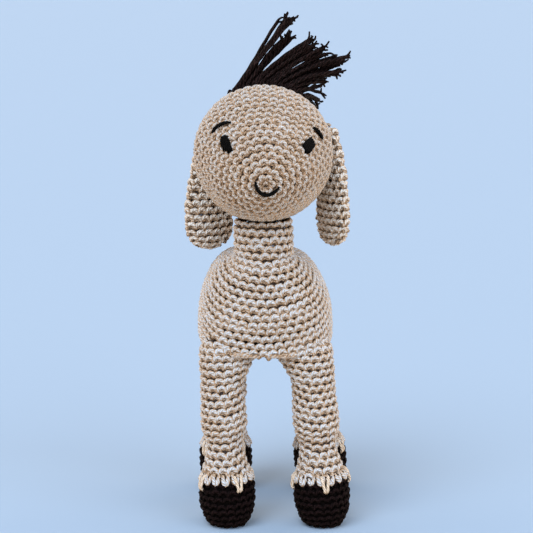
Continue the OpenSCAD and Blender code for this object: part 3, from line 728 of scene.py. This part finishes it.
for side in ("left", "right"):
    values = earValues[side]
    placement = (Matrix.Translation(values["pivot"]) @ Matrix.Rotation(math.radians(values["turn"]), 4, "Z")
                 @ Matrix.Rotation(math.radians(values["slant"]), 4, "Y"))
    rings = nodeRings("ear_" + side, placement)
    grid = np.stack([np.stack([np.interp(k, np.arange(len(rings)), [r[c][d] for r in rings])
                               for d in range(3)])
                     for k in np.linspace(0, len(rings) - 1, 4 * len(rings)) for c in range(48)])
    grid = smoothColumns(grid.reshape(-1, 48, 3), 14)
    grid = np.concatenate([grid, grid[-1:].mean(1, keepdims=True) * 0.96 + grid[-1:] * 0.04])
    grid = grid @ np.array(placement.to_3x3()).T + np.array(placement.translation)
    places = layRounds(grid, earValues["roundGap"], earValues["stitchWide"], upSign=-1.0, firstGap=0.35,
                       outSign=-1.0, spiral=False)
    ear = layStitches("earCoat." + side, [coatStitches], [places], earYarn, side + "_ear", seed=80 + len(side))
    inside = core("earInside." + side, "ear_" + side, -1.3, coatCore, side + "_ear")
    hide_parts("ear_" + side)
    print("ear", side, "rings", len(rings), "stitches", len(places[0]))

tailValues = {"root": (-4.048, 54.038, 114.562), "off": 20, "radius": 3.2, "length": 20}
tailTurn = Matrix.Rotation(math.radians(tailValues["off"]), 4, "X")
r, length = tailValues["radius"], tailValues["length"]
tailProfile = [(r * math.cos(a), r * math.sin(a)) for a in np.radians(np.linspace(80, 0, 8))]
tailProfile += [(r, -h) for h in np.linspace(1, length - 2 * r, 10)]
tailProfile += [(r * math.cos(a), -length + 2 * r - r * math.sin(a)) for a in np.radians(np.linspace(10, 86, 8))]
tailGrid = spinGrid(tailProfile, tailValues["root"], tailTurn, 32)
places = layRounds(tailGrid, 3.2, 3.6, upSign=-1.0, firstGap=0.3, outSign=-1.0, spiral=False)
tail = layStitches("tailCoat", [coatStitches], [places], coatYarn, "goat_tail", seed=95)
tailFill = core("tailInside", "tail", -1.1, coatCore, "goat_tail")
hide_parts("tail")
print("tail: done")


# ---- yarn pieces: seams, face, V stitches, tuft ----

def yarnPiece(name, paths, radii, material, body, sides=9, lobes=3, twist=0.55, liftFrom=None):
    # plied yarn laid along each path, as one piece
    bm = bmesh.new()
    for path, radius in zip(paths, radii):
        yarnAlong(bm, path, radius, sides, twist, lobes)
    lift = bm.verts.layers.float.new("lift")
    tint = bm.verts.layers.float.new("tint")
    for vert in bm.verts:
        vert[lift] = 0.75
        vert[tint] = 0.5
    piece = addPiece(name, finishYarn(bm, name, 2 * float(np.mean([np.mean(r) for r in radii]))), material, body)
    return piece


def curvePath(points, count):
    # a smooth path through a few points
    points = np.array([tuple(p) for p in points], float)
    t = np.linspace(0, len(points) - 1, count)
    k = np.clip(t.astype(int), 0, len(points) - 2)
    f = (t - k)[:, None]
    get = lambda i: points[np.clip(i, 0, len(points) - 1)]
    a, b, c, d = get(k - 1), get(k), get(k + 1), get(k + 2)
    a = np.where((k == 0)[:, None], 2 * b - c, a)
    d = np.where((k == len(points) - 2)[:, None], 2 * c - b, d)
    return 0.5 * (2 * b + (c - a) * f + (2 * a - 5 * b + 4 * c - d) * f ** 2 + (3 * b - a - 3 * c + d) * f ** 3)


faceValues = {
    "lift": 0.75,
    # ends of each thread, in millimetres across and up from the middle, as the goat is seen
    "eyeRight": {"thick": 1.3, "threads": (((-2.15, 2.9), (-1.9, -1.6)), ((-1.6, 3.7), (-1.1, -3.0)),
                                           ((-0.9, 4.1), (-0.1, -3.9)), ((-0.2, 4.0), (0.9, -4.2)),
                                           ((0.4, 3.3), (1.9, -4.1)), ((0.85, 2.0), (2.7, -3.7)))},
    "eyeLeft": {"thick": 1.3, "threads": (((-0.2, 2.7), (-3.1, -0.5)), ((0.6, 3.5), (-2.8, -1.8)),
                                          ((1.35, 4.0), (-2.3, -3.0)), ((1.9, 3.2), (-1.7, -3.7)),
                                          ((2.4, 2.2), (-1.0, -3.7)), ((2.9, 0.9), (-0.2, -3.3)))},
    "browRight": {"thick": 1.95, "line": ((-4.1, -3.2), (-2.6, -1.1), (-0.2, 0.5), (2.2, 1.3), (4.6, 1.4))},
    "browLeft": {"thick": 1.95, "line": ((-3.0, 2.1), (-1.8, 1.5), (-0.4, 0.3), (0.9, -1.3), (1.8, -2.9))},
    "mouth": {"thick": 1.9, "line": ((-4.7, 3.6), (-4.6, 1.6), (-3.5, -0.6), (-0.8, -2.2), (1.9, -1.9), (4.1, -0.5),
                                     (5.7, 1.3))},
}


def onHead(pointName, offset, lift):
    # a point on the head, offset in the picture's plane from a named image point
    place, _ = onSurface(imagePoints[pointName], headTree)
    right, up = camera.matrix_world.to_3x3() @ Vector((1, 0, 0)), camera.matrix_world.to_3x3() @ Vector((0, 1, 0))
    target = place + (right * offset[0] + up * offset[1]) * mm
    way = (target - camera.location).normalized()
    for _ in range(6):  # slides along the ray until it is at the lifted surface
        lifted = liftHead(target / mm, lift) * mm
        target = camera.location + way * (lifted - camera.location).dot(way)
    return lifted / mm


for eyeName, node in (("eyeRight", "eye_right"), ("eyeLeft", "eye_left")):
    values = faceValues[eyeName]
    paths, radii = [], []
    for k, (top, bottom) in enumerate(values["threads"]):
        path = []
        for t in np.linspace(0, 1, 7):
            sink = 1.3 * abs(2 * t - 1) ** 8
            path.append(onHead(eyeName, (lerp(top[0], bottom[0], t), lerp(top[1], bottom[1], t)),
                               faceValues["lift"] - sink))
        paths.append(curvePath(path, 12))
        radii.append([values["thick"] / 2 * (1 - 0.45 * abs(2 * s / 11 - 1) ** 5) for s in range(12)])
    piece = yarnPiece(eyeName, paths, radii, faceYarn, "head")
    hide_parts(node)
for lineName, pieceName, node in (("browRight", "browRight", "brow_right"), ("browLeft", "browLeft", "brow_left"),
                                  ("mouth", "mouthYarn", "mouth")):
    values = faceValues[lineName]
    path = curvePath([onHead(lineName, p, faceValues["lift"]) for p in values["line"]], 24)
    radii = [[values["thick"] / 2 * (1 - 0.55 * abs(2 * s / 23 - 1) ** 3) for s in range(24)]]
    piece = yarnPiece(pieceName, [path], radii, faceYarn, "head")
    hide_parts(node)
print("face: done")

# seams: short slanted stitches that sew neck to head, ears to head and tail to rump
seamValues = {"thick": 1.7, "neckStitches": 19, "slant": 2.2, "earStitches": 4, "tailStitches": 8}


def whipStitches(name, centre, ways, radius, number, high, slant, node, body, material, flat=0.0):
    # slanted stitches round a ring given by two ways across it
    a, b = (Vector(w) for w in ways)
    up = a.cross(b)
    paths = []
    for k in range(number):
        path = []
        for t in np.linspace(-1, 1, 7):
            angle = 2 * math.pi * (k + 0.5 * slant / math.pi * t * 0.5) / number
            out = radius + 0.9 * (1 - t * t)
            path.append(Vector(centre) + (a * math.cos(angle) + b * math.sin(angle)) * out + up * (high * t))
        paths.append(curvePath(path, 9))
    piece = yarnPiece(name, paths, [[seamValues["thick"] / 2] * 9] * number, material, body, sides=6, lobes=0)
    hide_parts(node)
    return piece


rimZ = torsoValues["rimZ"] + 0.3 + 1.1
collar = spinGrid([(13.3, 145.5), (13.0, 144.8), (13.0, 143.2), (13.0, 142.4)], (-3.45, -24.9, 0), Matrix.Identity(4), 72)
places = layRounds(collar, 2.8, 4.2, upSign=-1.0, firstGap=0.42, outSign=-1.0, spiral=False)
neckSeam = layStitches("neckSeam", [coatStitches], [places], coatYarn, "neck_ring", seed=31)
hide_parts("neck_seam")
for side in ("left", "right"):
    values = earValues[side]
    turn = Matrix.Rotation(math.radians(values["turn"]), 4, "Z").to_3x3()
    pivot, across, out = Vector(values["pivot"]), turn @ Vector((1, 0, 0)), turn @ Vector((0, 1, 0))
    paths = []
    for k in range(seamValues["earStitches"]):
        x = (k - (seamValues["earStitches"] - 1) / 2) * 2.5
        paths.append(curvePath([pivot + across * (x - 0.5) + out * (-0.6) + Vector((0, 0, 0.2)),
                                pivot + across * x + out * 0.2 + Vector((0, 0, 0.9)),
                                pivot + across * (x + 0.5) + out * 1.0 + Vector((0, 0, 0.1))], 7))
    piece = yarnPiece("earSeam." + side, paths, [[0.75] * 7] * len(paths), seamYarn, "head", sides=6, lobes=0)
    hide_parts("ear_seam_" + side)
slopeWay = (Vector(tailValues["root"]) - Vector((-4.0, 50, 113.2))).normalized()
tailOut = Vector((0, slopeWay.y, slopeWay.z)).normalized()
tailSeamAt = Vector(tailValues["root"]) - tailOut * (0.8 + 0.6 + 3.2)
whipStitches("tailSeam", tailSeamAt, ((1, 0, 0), tailOut.cross(Vector((1, 0, 0)))), 2.3,
             seamValues["tailStitches"], 1.4, 0.8, "tail_seam", "torso", coatYarn)

# V stitches of coat yarn over the top of each hoof, drawn in a lighter copy of it that paints light on them
spikeValues = {"down": 5.0, "up": 2.6, "halfWide": 1.65, "thick": 1.5, "lift": 1.0}
for legName, (x, y, lean, spikeTurn) in legValues["legs"].items():
    turn = Matrix.Rotation(-math.radians(lean), 4, "Y").to_3x3()
    paths = []
    for quarter in range(4):
        middle = math.radians(spikeTurn + 90 * quarter - 90)
        for sign in (-1, 1):
            path = []
            for t in np.linspace(0, 1, 6):
                h = legValues["yarnChangeZ"] + lerp(spikeValues["up"], -spikeValues["down"], t)
                r = legAt(h) + spikeValues["lift"] - 1.6 * (max(0, t - 0.8) / 0.2) ** 2 - 0.9 * max(0, 0.2 - t) / 0.2
                a = middle + sign * lerp(spikeValues["halfWide"], 0.45, t ** 0.8) / legAt(h)
                path.append(np.array([x, y, legValues["hipZ"]]) + np.array(
                    turn @ Vector((r * math.cos(a), r * math.sin(a), h - legValues["hipZ"]))))
            paths.append(curvePath(path, 12))
    piece = yarnPiece("vStitches." + legName, paths, [[spikeValues["thick"] / 2] * 12] * len(paths), spikeYarn,
                      legName + "_leg")
    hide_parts("spikes_" + legName)
print("seams and V stitches: done")

# ---- tuft ----

# each clump's tip from the crown of the head: across, up and back, and the share of the strands up to it
tuftValues = {"rows": 3, "perRow": 17, "thick": 1.8, "from": -28, "to": 34, "behind": 7, "rowStep": 8,
              "wave": 0.8, "scatter": 1.25, "fray": 3.6, "frayThick": 1.05, "archFirst": 0.06, "arch": 0.42,
              "clumps": ((11.6, 29.5, 4, 0.16), (12.3, 22.5, 6, 0.25), (22.0, 21.5, 7, 0.34), (24.5, 18.6, 8, 0.44),
                         (29.0, 16.5, 9, 0.56), (38.6, 13.2, 10, 0.68), (36.0, 7.0, 13, 0.78), (31.5, 4.2, 16, 0.86),
                         (28.5, -1.5, 19, 0.93), (25.5, -9.0, 22, 1.0))}
rng = np.random.default_rng(7)
strands, strandRadii, frays, frayRadii, knots = [], [], [], [], []
v = tuftValues
crown = Vector(headValues["centre"]) + Vector((0, 0, headValues["radius"]))
for row in range(v["rows"]):
    for i in range(v["perRow"]):
        share = min(1.0, max(0.0, (i + rng.uniform(-0.25, 0.25)) / (v["perRow"] - 1)))
        a = math.radians(lerp(v["from"], v["to"], share))
        b = math.radians(v["behind"] + row * v["rowStep"] + rng.normal(0, 1.2))
        out = Vector((math.sin(a), math.cos(a) * math.sin(b), math.cos(a) * math.cos(b)))
        start = Vector(headValues["centre"]) + out * (headValues["radius"] - 0.6)
        aim = next(c for c in v["clumps"] if share <= c[3])
        target = crown + Vector((aim[0], aim[2] + 1.5 * row, aim[1]))
        way = (target - start).normalized()
        reach = (target - start).length * rng.uniform(0.84, 1.03) - (v["fray"] if aim[3] > 0.2 else 1.0) * 0.6
        side = way.orthogonal().normalized()
        other = way.cross(side)
        apart = rng.normal(0, v["scatter"], 2)
        tip = start + way * reach + side * apart[0] + other * apart[1]
        arch = lerp(v["archFirst"], v["arch"], min(1.0, share / 0.4))
        bend = start + (arch * out + way).normalized() * reach * 0.42
        count = 18
        phase = rng.uniform(0, 6.28, 2)
        path = []
        for s in range(count):
            t = s / (count - 1)
            p = start * (1 - t) ** 2 + bend * 2 * t * (1 - t) + tip * t * t
            sway = v["wave"] * t ** 1.3
            p = p + side * sway * math.sin(5.2 * t + phase[0]) + other * sway * math.sin(4.6 * t + phase[1])
            path.append(p)
        strands.append(path)
        strandRadii.append([v["thick"] / 2 for _ in path])
        end, last = path[-1], (path[-1] - path[-2]).normalized()
        for f in range(3):
            spread = (last + Vector(rng.normal(0, 0.34, 3))).normalized()
            curl = Vector(rng.normal(0, 0.9, 3))
            long = v["fray"] * rng.uniform(0.45, 1.1)
            frays.append([end - last * 0.9, end + spread * long * 0.35, end + spread * long * 0.7 + curl * 0.3,
                          end + spread * long + curl])
            frayRadii.append([v["frayThick"] / 2 * k for k in (1.1, 1.0, 1.0, 0.8)])
        base = Vector(headValues["centre"]) + out * headValues["radius"]
        cross = out.cross(way).normalized()
        knots.append([base + cross * (1.1 * math.cos(q)) + out * (1.5 * math.sin(q) - 0.4)
                      + way * 0.6 * math.cos(q) for q in np.linspace(0, math.pi, 8)])
tuft = yarnPiece("tuftStrands", strands, strandRadii, tuftYarn, "head", twist=0.62)
fray = yarnPiece("tuftFray", frays, frayRadii, tuftYarn, "head", sides=4, lobes=0)
knotPiece = yarnPiece("tuftKnots", knots, [[0.75] * 8] * len(knots), tuftYarn, "head", sides=6, lobes=0)
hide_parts("tuft_front", "tuft_middle", "tuft_back")
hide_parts("tuft_knots")
print("tuft:", len(strands), "strands")

# ---- how far each thing shows from its image point ----

def meshPoints(piece):
    co = np.empty(len(piece.data.vertices) * 3, np.float32)
    piece.data.vertices.foreach_get("co", co)
    return co.reshape(-1, 3)


def showing(points, tree, slack=0.0006):
    # the points that the camera sees past a surface, or all of them when it sees none
    seen = []
    for p in points:
        way = Vector(p) - camera.location
        _, _, _, far = tree.ray_cast(camera.location, way.normalized())
        seen.append(far is None or far > way.length - slack)
    return points[np.array(seen)] if any(seen) else points


def measurePoints(pieces):
    report = {}
    flat = {name: toImage(meshPoints(piece)) for name, piece in pieces.items()}

    def note(key, x, y):
        mark = imagePoints[key]
        report[key] = {"x": None if mark[0] is None else round(float(x - mark[0]), 2),
                       "y": None if mark[1] is None else round(float(y - mark[1]), 2)}

    everything = np.concatenate(list(flat.values()))
    low, high = everything.min(0), everything.max(0)
    note("leftmost", low[0], 0)
    note("rightmost", high[0], 0)
    note("topmost", 0, low[1])
    note("lowest", 0, high[1])
    for key, name in (("eyeRight", "eyeRight"), ("eyeLeft", "eyeLeft"), ("browRight", "browRight"),
                      ("browLeft", "browLeft"), ("mouth", "mouthYarn")):
        spots = toImage(showing(meshPoints(pieces[name]), headTree))
        note(key, *(spots.min(0) + spots.max(0)) / 2)
    note("muzzlePole", *toImage([headPoint(0, 0) * mm])[0])
    for key, name in (("earRightTip", "earCoat.right"), ("earLeftTip", "earCoat.left"),
                      ("hoofRightSole", "hoof.front_right"), ("hoofLeftSole", "hoof.front_left")):
        spots = flat[name]
        tip = spots[spots[:, 1] > spots[:, 1].max() - 3]
        note(key, (tip[:, 0].min() + tip[:, 0].max()) / 2, tip[:, 1].max())
    for key, pick in (("neckLeft", np.min), ("neckRight", np.max)):
        spots = flat["torsoCoat"]
        note(key, pick(spots[abs(spots[:, 1] - imagePoints[key][1]) < 1.5, 0]), imagePoints[key][1])
    for key, name in (("spikeRight", "vStitches.front_right"), ("spikeLeft", "vStitches.front_left")):
        spots = flat[name][:len(flat[name]) // 4]  # the V stitch in front is the first of four
        note(key, *(spots.min(0) + spots.max(0)) / 2)
    return report


bpy.context.view_layer.update()
pieces = {o.name: o for o in bpy.data.objects if o.type == "MESH" and o.name not in nodes and o.name != "floor"}
measurePoints(pieces)

# ---- floor, light ----

floorMesh = bpy.data.meshes.new("floor")
bm = bmesh.new()
bmesh.ops.create_grid(bm, x_segments=1, y_segments=1, size=30)
bm.to_mesh(floorMesh)
bm.free()
floor = bpy.data.objects.new("floor", floorMesh)
bpy.context.scene.collection.objects.link(floor)
floorPaint = bpy.data.materials.new("floorPaint")
floorPaint.use_nodes = True
floorTree = floorPaint.node_tree
seen = makeNode(floorTree, "ShaderNodeLightPath").outputs["Is Camera Ray"]
floorMix = makeNode(floorTree, "ShaderNodeMix", data_type="RGBA")
floorTree.links.new(seen, floorMix.inputs["Factor"])
floorMix.inputs[6].default_value = (0.66, 0.57, 0.47, 1)  # the light it gives back is warmer than it looks
floorMix.inputs[7].default_value = (0.315, 0.425, 0.585, 1)
floorTree.links.new(floorMix.outputs[2], floorTree.nodes["Principled BSDF"].inputs["Base Color"])
floorPaint.node_tree.nodes["Principled BSDF"].inputs["Roughness"].default_value = 0.9
floorMesh.materials.append(floorPaint)

lightValues = {"sky": (0.87, 0.93, 1.0), "skyStrength": 0.72,
               "key": {"from": (-0.9, -1.7, 2.2), "wide": 40, "strength": 2.2, "colour": (0.90, 0.96, 1.0)},
               "fill": {"from": (1.5, -1.6, 1.0), "wide": 50, "strength": 1.3, "colour": (0.90, 0.96, 1.0)},
              "rimLeft": {"from": (-2.0, 0.8, 0.8), "wide": 60, "strength": 1.1, "colour": (1.0, 0.68, 0.36)},
              "rimRight": {"from": (2.0, 0.8, 0.8), "wide": 60, "strength": 1.1, "colour": (1.0, 0.68, 0.36)}}
world = bpy.data.worlds.new("sky")
world.use_nodes = True
world.node_tree.nodes["Background"].inputs[0].default_value = (*lightValues["sky"], 1)
world.node_tree.nodes["Background"].inputs[1].default_value = lightValues["skyStrength"]
bpy.context.scene.world = world
for name in ("key", "fill", "rimLeft", "rimRight"):
    values = lightValues[name]
    data = bpy.data.lights.new(name, "SUN")
    data.angle, data.energy, data.color = math.radians(values["wide"]), values["strength"], values["colour"]
    lamp = bpy.data.objects.new(name, data)
    lamp.location = values["from"]
    lamp.rotation_euler = Vector(values["from"]).to_track_quat("Z", "Y").to_euler()
    bpy.context.scene.collection.objects.link(lamp)

bpy.context.scene.view_settings.view_transform = "Standard"
